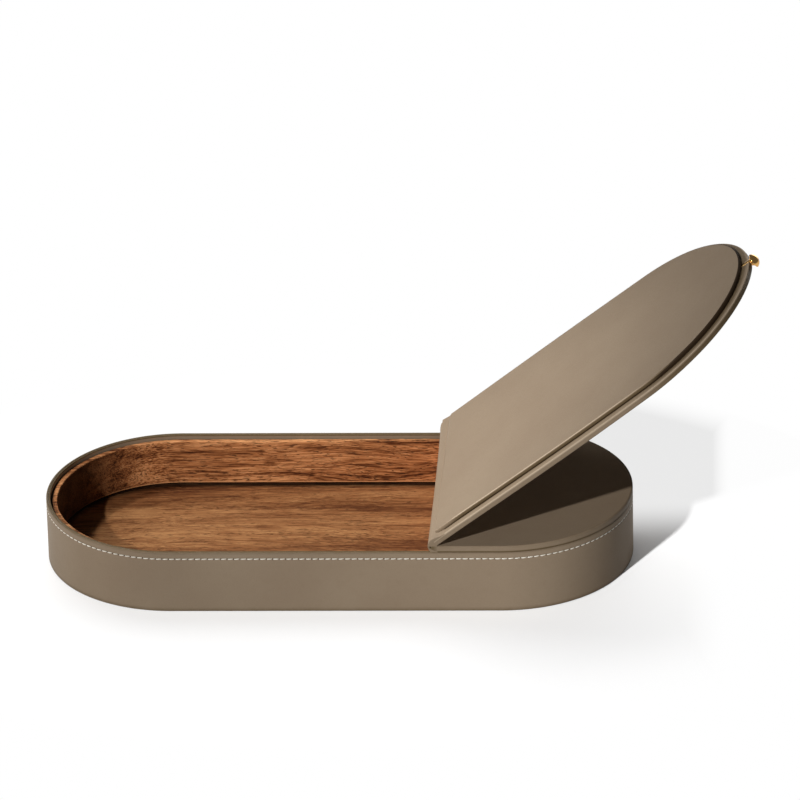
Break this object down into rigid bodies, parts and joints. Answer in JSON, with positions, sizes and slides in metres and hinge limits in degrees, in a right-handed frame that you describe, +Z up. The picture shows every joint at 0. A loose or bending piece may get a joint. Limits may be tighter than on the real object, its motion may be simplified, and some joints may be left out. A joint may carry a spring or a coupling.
{
  "type": "pen box with a leather-hinged lid",
  "caption": "Long box with round ends for pens: walnut-lined tray in stitched leather, fixed deck at one end and a leather-hinged lid with a brass pull.",
  "frame": {"origin": "centre of the box's outline on the plane that it rests on", "axes": "+X along the box from the open tray to the fixed deck, +Y to the back, +Z up"},
  "size_m": [0.3651, 0.1332, 0.1672],
  "materials": {
    "hide": "smooth taupe calfskin, satin",
    "thread": "waxed cream thread",
    "wall_wood": "oiled walnut, open pores",
    "floor_wood": "oiled walnut",
    "board": "plain fibreboard",
    "felt": "suede-like pad",
    "brass": "polished"
  },
  "bodies": {
    "case": {"base_pad": "felt", "base_board": "board", "side_core": "board", "side_leather": "hide", "rim_facing": "hide", "stitches": "thread", "wall_liner": "wall_wood", "floor_panel": "floor_wood", "partition": "wall_wood", "deck_board": "board", "deck_leather": "hide", "deck_locator": "board", "hinge_gusset": "hide"},
    "lid": {"lid_board": "board", "lid_leather": "hide", "lid_panel_board": "board", "lid_lining": "hide", "knob": "brass", "knob_tang": "brass"}
  },
  "joints": [
    {"name": "lid_hinge", "type": "hinge", "parent": "case", "child": "lid", "pos_m": [0.052, 0, 0.037], "axis": [0, -1, 0], "range_deg": [0, 142], "deforming": ["hinge_gusset"]}
  ]
}
